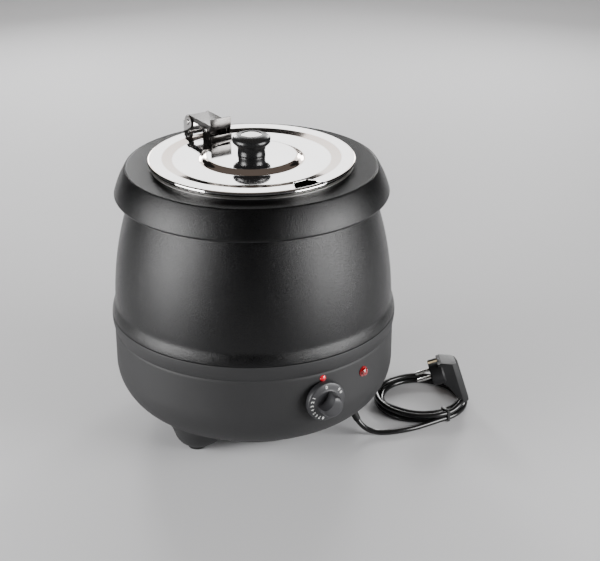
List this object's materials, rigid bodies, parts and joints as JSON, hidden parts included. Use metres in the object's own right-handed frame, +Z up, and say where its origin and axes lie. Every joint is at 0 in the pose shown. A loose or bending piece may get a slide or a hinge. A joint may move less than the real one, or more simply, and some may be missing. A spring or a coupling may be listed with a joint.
{
  "type": "soup kettle",
  "caption": "Electric soup kettle: barrel-shaped black housing with a thermostat dial, lift-out steel pot, hinged steel lid with knob, and coiled mains lead.",
  "frame": {"origin": "on the ground under the kettle's vertical axis", "axes": "+Z up, -Y out through the control dial, +X to the right of the dial as seen from in front"},
  "size_m": [0.4312, 0.3765, 0.3702],
  "materials": {
    "base_paint": "fine textured black powder coat",
    "shell_paint": "fine textured black powder coat",
    "collar_paint": "fine textured black powder coat",
    "cover_paint": "matt black paint",
    "well_steel": "satin",
    "pot_steel": "satin inside, polished rim",
    "lid_steel": "mirror polish",
    "hinge_steel": "polished",
    "screw_steel": "plated",
    "disc_steel": "polished",
    "element_steel": "heat-tinted",
    "plate_alu": "plain",
    "copper_tube": "bare copper",
    "brass": "bare",
    "plated_pin": "nickel plate",
    "foot_rubber": "matt",
    "cord_rubber": "satin PVC",
    "plug_rubber": "satin",
    "insulator": "moulded",
    "wire_sleeve": "sleeved",
    "lamp_plastic": "moulded",
    "red_lens": "clear red",
    "tie_plastic": "moulded",
    "dial_plastic": "satin, white print",
    "knob_plastic": "satin black"
  },
  "bodies": {
    "kettle": {"base_shell": "base_paint", "upper_shell": "shell_paint", "top_collar": "collar_paint", "water_well": "well_steel", "bottom_cover": "cover_paint", "cover_screws": "screw_steel", "foot_pads": "foot_rubber", "foot_screws": "screw_steel", "heating_element": "element_steel", "element_plate": "plate_alu", "element_nuts": "screw_steel", "thermal_cutout": "insulator", "thermostat_body": "insulator", "thermostat_nut": "screw_steel", "capillary_bulb": "copper_tube", "terminal_block": "insulator", "earth_stud": "brass", "inner_wiring": "wire_sleeve", "index_lamp": "red_lens", "index_lamp_body": "lamp_plastic", "pilot_lens": "red_lens", "pilot_lamp_body": "lamp_plastic", "cord_gland": "cord_rubber", "power_cord": "cord_rubber", "cord_coil": "cord_rubber", "coil_tie": "tie_plastic", "plug_body": "plug_rubber", "plug_pins": "plated_pin", "plug_earth_strips": "brass"},
    "dial": {"control_dial": "dial_plastic", "dial_shaft": "screw_steel"},
    "pot": {"soup_pot": "pot_steel", "hinge_clip": "hinge_steel", "hinge_pin": "screw_steel"},
    "lid": {"lid": "lid_steel", "lid_bracket": "hinge_steel", "hinge_strap": "hinge_steel", "strap_rivet": "screw_steel", "lid_knob": "knob_plastic", "knob_disc": "disc_steel", "knob_screw": "screw_steel"}
  },
  "joints": [
    {"name": "dial_turn", "type": "hinge", "parent": "kettle", "child": "dial", "pos_m": [0, -0.1757, 0.098], "axis": [0, -1, 0], "range_deg": [-200, 70]},
    {"name": "pot_lift", "type": "slide", "parent": "kettle", "child": "pot", "axis": [0, 0, 1], "range_m": [0, 0.27]},
    {"name": "lid_hinge", "type": "hinge", "parent": "pot", "child": "lid", "pos_m": [-0.00886, 0.12669, 0.3533], "axis": [-0.9976, -0.0698, 0], "range_deg": [0, 100]}
  ]
}
